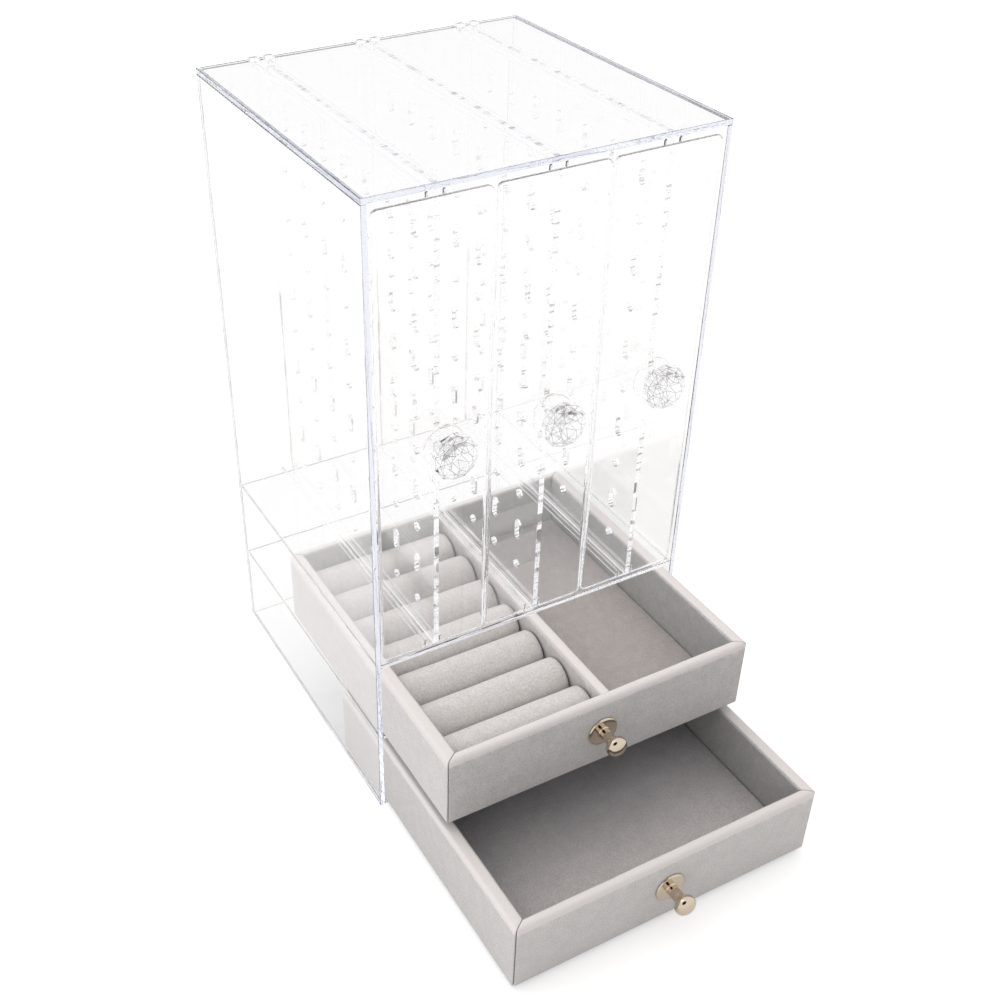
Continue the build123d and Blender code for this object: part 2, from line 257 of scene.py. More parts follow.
whole = add(room, "ShaderNodeMixShader", {0: path["Is Camera Ray"], 1: lit.outputs[0], 2: shown.outputs[0]})
add(room, "ShaderNodeOutputWorld", {"Surface": whole.outputs[0]})
print("studio room of", len(room.nodes), "nodes, dark places:", ", ".join(DARK_PLACES))

# %% [markdown]
# The table is white paint. Its own paint keeps the shadow of the box, and a little light of its own lifts it
# to white: most for the camera, less for rays that the acrylic bends, and hardly any for light that bounces.

# %% The table top
# Matt white paint: the eye sees only the soft shadow on it.
table, tree, output = new_material("white_table_top")
TABLE_WHITE = 0.92
LIFT_SEEN, LIFT_BENT, LIFT_BOUNCED = 0.45, 0.17, 0.05
path = add(tree, "ShaderNodeLightPath").outputs
bent_ray = add(tree, "ShaderNodeMath", {0: path["Is Glossy Ray"], 1: path["Is Transmission Ray"]},
               operation="MAXIMUM").outputs[0]
lift = add(tree, "ShaderNodeMath", {0: path["Is Camera Ray"], 1: LIFT_SEEN - LIFT_BOUNCED,
                                    2: LIFT_BOUNCED}, operation="MULTIPLY_ADD").outputs[0]
lift = add(tree, "ShaderNodeMath", {0: bent_ray, 1: LIFT_BENT - LIFT_BOUNCED, 2: lift},
           operation="MULTIPLY_ADD")
paint = add(tree, "ShaderNodeBsdfDiffuse", {"Color": (TABLE_WHITE, TABLE_WHITE, TABLE_WHITE, 1)})
glow = add(tree, "ShaderNodeEmission", {"Color": (1, 1, 1, 1), "Strength": lift.outputs[0]})
both = add(tree, "ShaderNodeAddShader", {0: paint.outputs[0], 1: glow.outputs[0]})
tree.links.new(both.outputs[0], output.inputs["Surface"])

FLOOR_REACH = 4.0
floor_mesh = bpy.data.meshes.new("table_top")
floor_mesh.from_pydata(
    [(-FLOOR_REACH, -FLOOR_REACH, 0), (FLOOR_REACH, -FLOOR_REACH, 0), (FLOOR_REACH, FLOOR_REACH, 0),
     (-FLOOR_REACH, FLOOR_REACH, 0)], [], [(0, 1, 2, 3)])
floor_mesh.materials.append(table)
floor = bpy.data.objects.new("table_top", floor_mesh)
scene.collection.objects.link(floor)
floor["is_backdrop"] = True
print("table top", 2 * FLOOR_REACH, "m wide, lift for the camera", LIFT_SEEN)


# %% The soft lamp
def soft_lamp(name, place, aim, size, watts):
    """A square area lamp at place that looks at aim."""
    lamp = bpy.data.lights.new(name, "AREA")
    lamp.size = size
    lamp.energy = watts
    holder = bpy.data.objects.new(name, lamp)
    facing = np.array(place) - np.array(aim)
    facing = facing / np.linalg.norm(facing)
    side = np.cross((0, 0, 1), facing)
    side /= np.linalg.norm(side)
    stand(holder, side, np.cross(facing, side), facing, place)
    scene.collection.objects.link(holder)


MIDDLE = (0, -0.04, 0.12)
LAMP_PLACE, LAMP_SIZE, LAMP_WATTS = (-0.45, 0.35, 1.25), 0.9, 1.5
soft_lamp("top_softbox", LAMP_PLACE, MIDDLE, LAMP_SIZE, LAMP_WATTS)
print("one softbox,", LAMP_SIZE, "m square,", LAMP_WATTS, "W")

# %% [markdown]
# ## Clear acrylic
# The case is cast acrylic sheet, cut, polished and glued. It has no colour through its thickness, but along
# the sheet the light travels far, so the edges pick up a faint lavender blue. A volume with a little
# absorption gives that tint by path length, just as the real sheet does. The shell's sheets are the larger
# and the bluer ones, and the shelves, plates and boards inside it stay clearer.

# %% Acrylic material
def clear_acrylic(name, tint, per_metre, wave_mm, wave_height_mm, passes=(1, 1, 1, 1)):
    """Acrylic: sharp refraction at its typical IOR, a faint wave in the surface, a little absorption.

    passes is the share of red, green and blue that each crossing of the surface lets through.
    """
    material, tree, output = new_material(name)
    where = add(tree, "ShaderNodeTexCoord")
    wave = add(tree, "ShaderNodeTexNoise", {"Vector": where.outputs["Object"], "Scale": 1 / (wave_mm * MM),
                                            "Detail": 1.0})
    bump = add(tree, "ShaderNodeBump", {"Height": wave.outputs["Fac"], "Strength": 1.0,
                                        "Distance": wave_height_mm * MM})
    pane = add(tree, "ShaderNodeBsdfPrincipled", {
        "Base Color": passes, "Roughness": 0.0, "IOR": 1.49, "Transmission Weight": 1.0,
        "Normal": bump.outputs["Normal"]})
    absorb = add(tree, "ShaderNodeVolumeAbsorption", {"Color": hex_colour(tint), "Density": per_metre})
    tree.links.new(pane.outputs[0], output.inputs["Surface"])
    tree.links.new(absorb.outputs[0], output.inputs["Volume"])
    return material


SHEET_WAVE = (14.0, 0.014)  # length and height in mm of the faint waves that casting leaves in a sheet
CRYSTAL_WAVE = (8.0, 0.002)
# Cast acrylic with a flame-polished edge: clear from the front, a pale blue line where it is seen edge on.
shell_acrylic = clear_acrylic("cast_acrylic_shell_sheet", "#B6C2E8", 1.7, *SHEET_WAVE)
# The same sheet of a clearer casting: its edges read as white lines between two dark ones.
inner_acrylic = clear_acrylic("cast_acrylic_inner_sheet", "#C0C4EA", 0.5, *SHEET_WAVE)
# Moulded acrylic with flat facets: sharp sparks of white and dark, with hardly any colour.
crystal_acrylic = clear_acrylic("moulded_crystal_acrylic", "#E4E4EC", 0.2, *CRYSTAL_WAVE)
# The same acrylic, darker on the rounded facet edges: painted dark lines that draw the cut, for the dark that
# the edges mirror.
crystal_edges_painted_dark = clear_acrylic("crystal_facet_edges_painted_dark", "#E4E4EC", 0.2, *CRYSTAL_WAVE,
                              passes=hex_colour("#82828A"))
print("acrylics:", ", ".join(m.name for m in (shell_acrylic, inner_acrylic, crystal_acrylic, crystal_edges_painted_dark)))

# %% [markdown]
# ## Glued joints
# Where two sheets are glued, their models share one plane. A light ray can't tell two faces in the same
# place apart, and it gets lost inside the plastic, which shows as black. So each clear piece is made from
# its own solid, drawn in by a few hundredths of a millimetre on every face: the glue line becomes a real,
# very thin gap. Polishing rounds the long edges, and more so on the plates, which are held by hand.

# %% Draw the sheets in by a glue line
GLUE_LINE = 0.03 * MM
RECORD = frame["record"]
sheet_nodes = [row["node"] for row in RECORD["subparts"] if row["material_slot"] == "clear_acrylic"]
body_of = {node: body for body, nodes in RECORD["behaviour"]["bodies"].items() for node in nodes}
print(len(sheet_nodes), "nodes are made of sheet")


def drawn_in(node, distance):
    """A copy of a node's mesh whose every face has moved inwards by distance.

    Corner i moves by the v that solves n . v = -distance for all its faces' normals n, in the least
    squares sense: v = pinv(sum of n n^T) * (-distance * sum of n).
    """
    mesh = NODES[node].data.copy()
    shape = bmesh.new()
    shape.from_mesh(mesh)
    bmesh.ops.remove_doubles(shape, verts=shape.verts, dist=0.001 * MM)
    shape.to_mesh(mesh)
    shape.free()
    mesh.calc_loop_triangles()
    corners = np.empty(len(mesh.loop_triangles) * 3, int)
    normals = np.empty(len(mesh.loop_triangles) * 3)
    places = np.empty(len(mesh.vertices) * 3)
    mesh.loop_triangles.foreach_get("vertices", corners)
    mesh.loop_triangles.foreach_get("normal", normals)
    mesh.vertices.foreach_get("co", places)
    normals = np.repeat(normals.reshape(-1, 3), 3, axis=0)
    outer, total = np.zeros((len(mesh.vertices), 3, 3)), np.zeros((len(mesh.vertices), 3))
    np.add.at(outer, corners, normals[:, :, None] * normals[:, None, :])
    np.add.at(total, corners, normals)
    move = (np.linalg.pinv(outer, rcond=0.01) @ (-distance * total)[..., None])[..., 0]
    mesh.vertices.foreach_set("co", (places.reshape(-1, 3) + move).ravel())
    mesh.update()
    return mesh


# %% Round the edges
def soften_edges(mesh, width, steps, turning=50, edge_slot=-1):
    """Round every edge that turns by more than turning degrees to an arc of flat steps, width wide.

    The new strips take the material slot edge_slot, or that of the faces beside them where it is -1.
    """
    shape = bmesh.new()
    shape.from_mesh(mesh)
    bmesh.ops.dissolve_limit(shape, angle_limit=np.radians(0.5), verts=shape.verts, edges=shape.edges)
    sharp = [edge for edge in shape.edges if edge.calc_face_angle(0) > np.radians(turning)]
    bmesh.ops.bevel(shape, geom=sharp, offset=width, offset_type="OFFSET", segments=steps, profile=0.5,
                    affect="EDGES", clamp_overlap=True, material=edge_slot)
    bmesh.ops.triangulate(shape, faces=shape.faces)
    shape.to_mesh(mesh)
    shape.free()
    return len(sharp)


# %% Dress the sheets
CASE_EDGE, PLATE_EDGE, EDGE_STEPS = 0.55 * MM, 1.1 * MM, 4
for node in sheet_nodes:
    mesh = drawn_in(node, GLUE_LINE)
    if "board" not in node:  # a board's many small holes are laser cut and keep square edges
        width = PLATE_EDGE if "plate" in node else CASE_EDGE
        print(node, "softened edges:", soften_edges(mesh, width, EDGE_STEPS))
    mesh.shade_flat()
    mesh.materials.clear()
    mesh.materials.append(shell_acrylic if node.endswith(("_panel", "_side")) else inner_acrylic)
    sheet = bpy.data.objects.new(f"{node}_acrylic", mesh)
    scene.collection.objects.link(sheet)
    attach(sheet, body_of[node])
    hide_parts(node)
    # A path tracer gives clear plastic a dark shadow, and the real one is hardly seen.
    sheet.visible_shadow = False
    sheet.visible_diffuse = False

# %% [markdown]
# ## Velvet
# The drawers, rolls and pads are covered in velvet with a short brushed nap. It scatters light softly, glows
# a little at grazing angles, and where the nap leans another way the tone shifts, in blotches of a few
# millimetres. Two sizes of noise give the blotches and the tufts, and a fine bump gives the pile. How far the
# nap stands is stored with each point, so a rubbed edge or a pressed floor has its own tone. The same stored
# value also holds painted light and shade: lighter tops and outer faces, darker inner faces, and a darker,
# cooler floor under the upper drawer.

# %% Velvet material
BLOTCH, TUFT, FIBRE = 5.0 * MM, 0.8 * MM, 0.35 * MM
# Real tufts are about 0.2 mm wide and fibres 0.02 mm, too fine to show here, so both are drawn coarser.
BLOTCH_STIR, TUFT_STIR = 0.35, 1.7
FLAT_TUFTS = 0.35  # share of the tufts' contrast that is left where the pile lies flat
TUFT_HEIGHT, FIBRE_HEIGHT = 0.25 * MM, 0.12 * MM


def velvet(name, standing, pressed):
    """Brushed velvet: the stored nap, with the painted light and shade stored in it, picks the tone, blotches
    and tufts stir it, and the fibres are a bump.

    level = nap + BLOTCH_STIR * (blotch - 0.5) + TUFT_STIR * share * (tuft - 0.5), where share runs from
    FLAT_TUFTS at nap 0 to 1 at nap 1, because a pile that stands up shows its tufts.
    """
    material, tree, output = new_material(name)
    where = add(tree, "ShaderNodeTexCoord").outputs["Object"]
    stored = add(tree, "ShaderNodeAttribute", attribute_name="nap_and_painted_light").outputs["Fac"]
    blotch = add(tree, "ShaderNodeTexNoise", {"Vector": where, "Scale": 1 / BLOTCH, "Detail": 3.0,
                                              "Roughness": 0.6}).outputs["Fac"]
    tuft = add(tree, "ShaderNodeTexNoise", {"Vector": where, "Scale": 1 / TUFT, "Detail": 2.0,
                                            "Roughness": 0.8}).outputs["Fac"]
    fibre = add(tree, "ShaderNodeTexNoise", {"Vector": where, "Scale": 1 / FIBRE, "Detail": 1.0}
                ).outputs["Fac"]
    share = add(tree, "ShaderNodeMath", {0: stored, 1: 1 - FLAT_TUFTS, 2: FLAT_TUFTS},
                operation="MULTIPLY_ADD").outputs[0]
    centred = add(tree, "ShaderNodeMath", {0: tuft, 1: TUFT_STIR, 2: -TUFT_STIR / 2},
                  operation="MULTIPLY_ADD").outputs[0]
    tufts = add(tree, "ShaderNodeMath", {0: centred, 1: share, 2: stored},
                operation="MULTIPLY_ADD").outputs[0]
    stirred = add(tree, "ShaderNodeMath", {0: blotch, 1: BLOTCH_STIR, 2: tufts},
                  operation="MULTIPLY_ADD").outputs[0]
    level = add(tree, "ShaderNodeMath", {0: stirred, 1: BLOTCH_STIR / 2}, operation="SUBTRACT").outputs[0]
    ramp = add(tree, "ShaderNodeValToRGB", {"Fac": level})
    ramp.color_ramp.elements[0].color = hex_colour(pressed)
    ramp.color_ramp.elements[1].color = hex_colour(standing)
    pile = add(tree, "ShaderNodeBump", {"Height": tuft, "Strength": 0.5, "Distance": TUFT_HEIGHT})
    pile = add(tree, "ShaderNodeBump", {"Height": fibre, "Strength": 0.4, "Distance": FIBRE_HEIGHT,
                                        "Normal": pile.outputs["Normal"]})
    cloth = add(tree, "ShaderNodeBsdfPrincipled", {
        "Base Color": ramp.outputs["Color"], "Roughness": 0.95, "Specular IOR Level": 0.2,
        "Sheen Weight": 0.15, "Sheen Roughness": 0.4, "Normal": pile.outputs["Normal"]})
    tree.links.new(cloth.outputs[0], output.inputs["Surface"])
    return material


# Flocked polyester velvet, brushed one way: a soft warm grey, pale where the nap stands or is rubbed.
velvet_wrap = velvet("brushed_velvet", "#EFE9E7", "#AEAEAC")
# The same velvet, glued flat on foam: its pile lies down, so the eye sees it darker and slightly browner.
# The deep lower drawer's pad is painted cooler and darker where it is pressed, a painted cool shade under the
# upper drawer.
velvet_pad = {"upper_drawer": velvet("pressed_velvet_pad", "#EFE7E4", "#B0AAA8"),
              "lower_drawer": velvet("deep_velvet_pad_painted_cool_shade", "#F1E8E3", "#ABAAAF")}
print("velvets:", ", ".join(m.name for m in (velvet_wrap, *velvet_pad.values())))

# %% [markdown]
# ## Drawer walls
# Each wall is a board wrapped in velvet. Its section is a tall rectangle with soft corners, the top ones
# fuller because the fabric is folded over there. The section is carried along the wall and its ends follow
# the mitre, where the fabric turns in and leaves the fine dark seam at each corner. The velvet is glued tight
# to the board, so the shape is drawn straight from its formula, with no cloth simulation.

# %% Section of a wall
CORNER_POINTS = 7


def soft_section(thickness, height, outer_round, inner_round, foot_round, spacing):
    """A closed outline (depth, height) of a wall: straight sides and four corners as quarter circles.

    Points go round from the outer foot up the outer face, over the top and down the inner face.
    """
    corners = [(foot_round, foot_round, foot_round, np.pi * 1.5, np.pi),
               (outer_round, height - outer_round, outer_round, np.pi, np.pi / 2),
               (thickness - inner_round, height - inner_round, inner_round, np.pi / 2, 0),
               (thickness - foot_round, foot_round, foot_round, 0, -np.pi / 2)]
    loop = np.concatenate([
        np.stack([x + r * np.cos(turn), z + r * np.sin(turn)], axis=-1)
        for x, z, r, start, end in corners for turn in [np.linspace(start, end, CORNER_POINTS)]])
    closed = np.vstack([loop, loop[:1]])
    steps = np.maximum(np.ceil(np.linalg.norm(np.diff(closed, axis=0), axis=1) / spacing).astype(int), 1)
    return np.concatenate([
        a + (b - a) * (np.arange(n) / n)[:, None] for a, b, n in zip(closed[:-1], closed[1:], steps)])


def inward_normals(section):
    """Unit normals of a closed outline, pointing to the inside of a clockwise loop."""
    along = np.roll(section, -1, axis=0) - np.roll(section, 1, axis=0)
    along /= np.linalg.norm(along, axis=1, keepdims=True)
    return np.stack([along[:, 1], -along[:, 0]], axis=-1)


CLOTH_SPACING = 2.5 * MM
OUTER_TOP, INNER_TOP, WALL_FOOT = 1.6 * MM, 1.4 * MM, 0.7 * MM
tried = soft_section(6 * MM, 36 * MM, OUTER_TOP, INNER_TOP, WALL_FOOT, CLOTH_SPACING)
print("a section 6 mm thick and 36 mm high has", len(tried), "points")

# %% [markdown]
# Hands rub the top outer edge of each wall, and the nap stands up and turns pale there in a band of a few
# millimetres with an uneven border; the band is also a painted sheen along the lit top edge. Tops and outer
# faces are painted lighter and inner faces darker, as painted light and shade, and each outer face takes its
# own painted light by the side that it faces.

# %% Nap of a wall
# The lean and the top term are painted light and shade: inner faces darker, outer faces and tops lighter. The
# rubbed band is pale wear and a painted sheen.
SIDE_NAP, PAINTED_INSIDE_SHADE, PAINTED_TOP_LIGHT = 0.29, 0.15, 0.3
RUBBED_BAND, RUBBED_BORDER = 3.8 * MM, 1.2 * MM
BORDER_WAVE, BORDER_LENGTH = 0.6 * MM, 6 * MM
RUBBED_WEAR_AND_SHEEN, TOP_RUBBED_LESS = 0.8, 0.4


def wall_nap_and_painted_light(bar, section, height, seed):
    """Nap and painted light of a wall's points: painted shade on the inner face, painted light outside and on
    top, pale wear and painted sheen on the rubbed top edge.

    It is SIDE_NAP - PAINTED_INSIDE_SHADE * out_x + PAINTED_TOP_LIGHT * up for the outward normal (out_x, up),
    plus RUBBED_WEAR_AND_SHEEN within RUBBED_BAND of the top, which fades over RUBBED_BORDER.
    """
    out = -inward_normals(section)
    up = out[:, 1].clip(0, 1)
    level = SIDE_NAP - PAINTED_INSIDE_SHADE * out[:, 0] + PAINTED_TOP_LIGHT * up
    depth_under = height - bar[..., 2] + BORDER_WAVE * ripple(bar, BORDER_LENGTH, seed)
    rubbed = ((RUBBED_BAND - depth_under) / RUBBED_BORDER).clip(0, 1)
    outside = (out[:, 0] < 0.5)[None, :]
    return level[None, :] + RUBBED_WEAR_AND_SHEEN * rubbed * outside * (1 - TOP_RUBBED_LESS * up)[None, :]


print("nap on an outer face:", round(SIDE_NAP + PAINTED_INSIDE_SHADE, 2), "and rubbed:", round(RUBBED_WEAR_AND_SHEEN, 2), "more")


# %% Wall surfaces
CLOTH_WAVE, WAVE_LENGTH = 0.05 * MM, 22 * MM
TOP_FOLDS_LESS = 0.6  # the top of a wall draws in by this much less at its ends


def wrapped_bar(section, half_length, mitre, seam_round, spacing, seed, softness):
    """A bar with one section, as points (along, depth, height) in rows from end to end.

    A point at depth d ends at half_length - mitre * d. Over the last seam_round of the way the section
    draws in by a quarter circle, so that two bars meet in a fine groove. The skin waves by softness.
    """
    normals = inward_normals(section)
    quarter = np.linspace(0, np.pi / 2, 6)[1:]
    straight = half_length - seam_round
    inner = np.linspace(-straight, straight, max(int(2 * straight / spacing), 4))
    outer = straight + seam_round * np.sin(quarter)
    reach = np.concatenate([-outer[::-1], inner, outer])
    folded = seam_round * (1 - np.cos(quarter))
    draw_in = np.concatenate([folded[::-1], np.zeros(len(inner)), folded])[:, None]
    draw_in = draw_in * (1 - TOP_FOLDS_LESS * (-normals[:, 1]).clip(0, 1))[None, :]
    depth = section[None, :, 0] + normals[None, :, 0] * draw_in
    height = section[None, :, 1] + normals[None, :, 1] * draw_in
    along = reach[:, None] - mitre * depth * (reach / half_length)[:, None]
    points = np.stack([along, depth, height], axis=-1)
    wave = ripple(points, WAVE_LENGTH, seed) * softness * (np.abs(reach) < straight)[:, None]
    points[..., 1] += normals[None, :, 0] * wave
    points[..., 2] += normals[None, :, 1] * wave
    return points


def bar_faces(rows, columns):
    """Quads of a closed tube of rows and a flat cap at each end."""
    faces = [list(q)[::-1] for q in grid_quads(rows, columns, ring=True)]
    faces.append(list(range(columns)))
    faces.append(list(range((rows - 1) * columns, rows * columns))[::-1])
    return faces


print("a tube of 5 rings of 8 points has", len(bar_faces(5, 8)), "faces with its caps")

# %% Build the walls
# Painted light added to the nap on the outer face of the front, back, left and right wall, for the light that
# side gets
PAINTED_FACE_LIGHT = {"upper_drawer": (0.0, 0.0, 0.24, 0.0), "lower_drawer": (0.21, 0.0, 0.12, 0.06)}
CORNER_SHARE = 0.35  # of that, on the rounded outer corners
SEAM_ROUND, SEAM_GAP = 0.7 * MM, 0.2 * MM
WALL_SEED, NAP_SEED = 10, 20

for drawer in DRAWERS:
    front_low, front_high = (np.array(c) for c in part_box(f"{drawer}_front_wall"))
    back_high = np.array(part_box(f"{drawer}_back_wall")[1])
    side_low, side_high = (np.array(c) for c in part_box(f"{drawer}_left_wall"))
    end_wall = front_high[1] - front_low[1]
    side_wall = side_high[0] - side_low[0]
    height = front_high[2] - front_low[2]
    half_width = front_high[0]
    half_length = (back_high[1] - front_low[1]) / 2
    middle_y = (back_high[1] + front_low[1]) / 2
    foot_z = front_low[2]
    ends = soft_section(end_wall, height, OUTER_TOP, INNER_TOP, WALL_FOOT, CLOTH_SPACING)
    sides = soft_section(side_wall, height, OUTER_TOP, INNER_TOP, WALL_FOOT, CLOTH_SPACING)
    walls = {
        "front_wall": (ends, half_width, side_wall / end_wall,
                       lambda p: (p[..., 0], front_low[1] + p[..., 1])),
        "back_wall": (ends, half_width, side_wall / end_wall,
                      lambda p: (-p[..., 0], back_high[1] - p[..., 1])),
        "left_wall": (sides, half_length, end_wall / side_wall,
                      lambda p: (-half_width + p[..., 1], middle_y - p[..., 0])),
        "right_wall": (sides, half_length, end_wall / side_wall,
                       lambda p: (half_width - p[..., 1], middle_y + p[..., 0])),
    }
    for number, (wall, (section, half, mitre, place)) in enumerate(walls.items()):
        bar = wrapped_bar(section, half - SEAM_GAP, mitre, SEAM_ROUND, CLOTH_SPACING, WALL_SEED + number,
                          CLOTH_WAVE)
        x, y = place(bar)
        points = np.stack([x, y, foot_z + bar[..., 2]], axis=-1)
        # The outer faces and their rounded corners take the painted light of their side.
        out = -inward_normals(section)[:, 0]
        share = CORNER_SHARE * (out < 0.1) + (1 - CORNER_SHARE) * (out < -0.5)
        face_painted_light = share * PAINTED_FACE_LIGHT[drawer][number]
        nap_and_painted_light = wall_nap_and_painted_light(bar, section, height, NAP_SEED + number) + face_painted_light
        build_piece(f"{drawer}_{wall}_velvet", points, bar_faces(*points.shape[:2]), velvet_wrap, drawer,
                    [f"{drawer}_{wall}"], nap_and_painted_light=nap_and_painted_light.ravel())
    print(drawer, "walls:", round(2 * half_width / MM, 1), "by", round(2 * half_length / MM, 1), "mm")

# %% [markdown]
# ## Foam under velvet
# The floor pads and the ring rolls are foam in a velvet skin. The foam pushes the skin out between its
# seams, and the skin's own tension decides where it gives, so it is simulated rather than drawn: Blender's
# Cloth runs with a pressure inside the closed skin and without weight. The skin starts a little small, its
# seams are pinned, and a cap keeps it clear of the walls. A wide flat pad gives way to a far lower pressure
# than a narrow roll does, so each kind has its own.

# %% Cloth with pressure
SWELL_FRAMES = 20
SKIN_MASS = 0.001
PAD_PRESSURE, ROLL_PRESSURE = 0.06, 6000.0
SWELL_CAP = 0.3 * MM


def swell(pieces, pressure, cap):
    """Push the closed skins outwards from the inside and keep the result in their meshes.

    A point that the cloth moves by m ends at m * min(1, cap / |m|). The group "seam" holds its points
    still.
    """
    if not pieces:
        return
    for piece in pieces:
        cloth = piece.modifiers.new("stuffing", "CLOTH")
        cloth.settings.mass = SKIN_MASS
        cloth.settings.use_pressure = True
        cloth.settings.uniform_pressure_force = pressure
        cloth.settings.effector_weights.gravity = 0
        cloth.settings.vertex_group_mass = "seam"
        cloth.collision_settings.use_collision = False
        cloth.point_cache.frame_start, cloth.point_cache.frame_end = 1, SWELL_FRAMES
    for number in range(1, SWELL_FRAMES + 1):
        bpy.context.scene.frame_set(number)
    graph = bpy.context.evaluated_depsgraph_get()
    for piece in pieces:
        start, end = (np.empty(len(piece.data.vertices) * 3) for _ in range(2))
        piece.data.vertices.foreach_get("co", start)
        piece.evaluated_get(graph).data.vertices.foreach_get("co", end)
        move = (end - start).reshape(-1, 3)
        far = np.linalg.norm(move, axis=1, keepdims=True)
        move *= np.minimum(1, cap / np.maximum(far, 1e-9))
        piece.modifiers.remove(piece.modifiers["stuffing"])
        piece.data.vertices.foreach_set("co", start + move.ravel())
        piece.data.update()
        print(piece.name, "swelled by", round(float(far.max()) / MM, 2), "mm, kept to", round(cap / MM, 2))
    bpy.context.scene.frame_set(1)


def pin(piece, points):
    """Hold the numbered points of a piece still while it swells."""
    piece.vertex_groups.new(name="seam").add(np.asarray(points).tolist(), 1.0, "REPLACE")


print(f"simulation over {SWELL_FRAMES} frames")

# %% [markdown]
# ## Floor pads
# A thin sheet of foam under velvet covers the floor of each drawer. It is cut a hair smaller than the space
# between the walls, so a fine dark crease runs all round it, and its top swells very slightly.

# %% Pad surface
PAD_WAVE, PAD_WAVE_SHARE = 30 * MM, 0.25


def pad_faces(rows, columns):
    """Quads of two grids of equal size, the top first, joined by a band along their rims."""
    top = grid_quads(rows, columns)
    size = rows * columns
    rim = np.concatenate([np.arange(columns), np.arange(1, rows) * columns + columns - 1,
                          size - 1 - np.arange(1, columns), np.arange(rows - 2, 0, -1) * columns])
    after = np.roll(rim, -1)
    band = np.stack([rim, rim + size, after + size, after], axis=-1)
    return np.concatenate([top, top[:, ::-1] + size, band])


def edge_steps(half, round_off, spacing):
    """Coordinates from -half to half, close together where the edge is rounded."""
    near = half - round_off * (1 - np.cos(np.linspace(0, np.pi / 2, 5)))
    middle = np.linspace(-near[-1], near[-1], int(2 * near[-1] / spacing))
    return np.concatenate([-near, middle[1:-1], near[::-1]])


def pad_surface(low, high, round_off, crown, spacing, seed):
    """A flat-bottomed pad as a top and a bottom grid.

    The top lies crown under high, less round_off - sqrt(round_off^2 - (round_off - d)^2) at a distance
    d < round_off from the rim, plus crown * sqrt((1 - u^2) * (1 - v^2)) for u and v from -1 to 1 across.
    """
    centre, half = (low + high) / 2, (high - low) / 2
    x, y = np.meshgrid(edge_steps(half[0], round_off, spacing), edge_steps(half[1], round_off, spacing))
    to_rim = np.minimum(half[0] - np.abs(x), half[1] - np.abs(y)).clip(0, round_off)
    drop = round_off - np.sqrt(round_off ** 2 - (round_off - to_rim) ** 2)
    crowned = crown * ((1 - (x / half[0]) ** 2) * (1 - (y / half[1]) ** 2)) ** 0.5
    points = np.stack([x + centre[0], y + centre[1], high[2] - crown - drop + crowned], axis=-1)
    points[..., 2] += ripple(points, PAD_WAVE, seed) * crown * PAD_WAVE_SHARE * (to_rim / round_off)
    bottom = np.stack([points[..., 0], points[..., 1], np.full_like(x, low[2])], axis=-1)
    return np.stack([points, bottom])


print("steps across 140 mm:", len(edge_steps(70 * MM, 1 * MM, 3 * MM)))

# %% Build the floor pads
PAD_GAP, PAD_ROUND, PAD_CROWN, PAD_SPACING = 0.15 * MM, 1.0 * MM, 0.3 * MM, 3 * MM
PAD_SEED = 31
# The nap falls from the first to the second value between two distances along Y, in metres. On the lower pad
# this is painted shade: lighter at the open front, darker under the front of the upper drawer.
PAD_NAP_AND_PAINTED_SHADE = {"upper_drawer": ((-0.135, 0.01), (0.14, 0.14)), "lower_drawer": ((-0.168, -0.142), (0.52, 0.20))}
pads = []
for drawer, (between, nap_and_shade_levels) in PAD_NAP_AND_PAINTED_SHADE.items():
    low, high = (np.array(c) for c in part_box(f"{drawer}_floor_pad"))
    low[:2] += PAD_GAP
    high[:2] -= PAD_GAP
    points = pad_surface(low, high, PAD_ROUND, PAD_CROWN, PAD_SPACING, PAD_SEED)
    rows, columns = points.shape[1:3]
    pad = build_piece(f"{drawer}_floor_velvet", points, pad_faces(rows, columns), velvet_pad[drawer], drawer,
                      [f"{drawer}_floor_pad"], nap_and_painted_light=np.interp(points[..., 1], between, nap_and_shade_levels).ravel())
    pin(pad, np.arange(rows * columns, 2 * rows * columns))
    pads.append(pad)
    print(pad.name, "of", rows, "by", columns, "points")
swell(pads, PAD_PRESSURE, SWELL_CAP)

# %% [markdown]
# ## Divider
# A thin board wrapped in the same velvet parts the ring rolls from the open half. The wrap makes its top
# edge fully round.

# %% Divider
DIVIDER_FOOT, DIVIDER_SEAM, DIVIDER_BRUSHED = 0.5 * MM, 0.3 * MM, 0.12
DIVIDER_SEED, DIVIDER_NAP_SEED = 41, 42
low, high = (np.array(c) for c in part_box("upper_drawer_divider"))
thick, long, tall = high - low
section = soft_section(thick, tall, INNER_TOP, INNER_TOP, DIVIDER_FOOT, CLOTH_SPACING)
bar = wrapped_bar(section, long / 2, 0.0, DIVIDER_SEAM, CLOTH_SPACING, DIVIDER_SEED, CLOTH_WAVE)
points = np.stack([low[0] + bar[..., 1], (high[1] + low[1]) / 2 - bar[..., 0], low[2] + bar[..., 2]], axis=-1)
nap_and_painted_light = wall_nap_and_painted_light(bar, section, tall, DIVIDER_NAP_SEED) + DIVIDER_BRUSHED
build_piece("upper_drawer_divider_velvet", points, bar_faces(*points.shape[:2]), velvet_wrap,
            "upper_drawer", ["upper_drawer_divider"], nap_and_painted_light=nap_and_painted_light.ravel())
print("divider:", *((high - low) / MM).round(1), "mm")

# %% [markdown]
# ## Ring rolls
# A ring roll is a foam cylinder in a velvet sleeve. The sleeve is tucked in at both ends, so the rim of each
# end is soft, the end itself bulges slightly, and where two rolls press together they flatten. The rolls are
# handled most, so their nap stands up all round.

# %% Roll surface
ROLL_WAVE, ROLL_WAVE_HEIGHT = 24 * MM, 0.12 * MM
ROLL_AROUND, RIM_ROWS, FACE_ROWS = 72, 7, 7


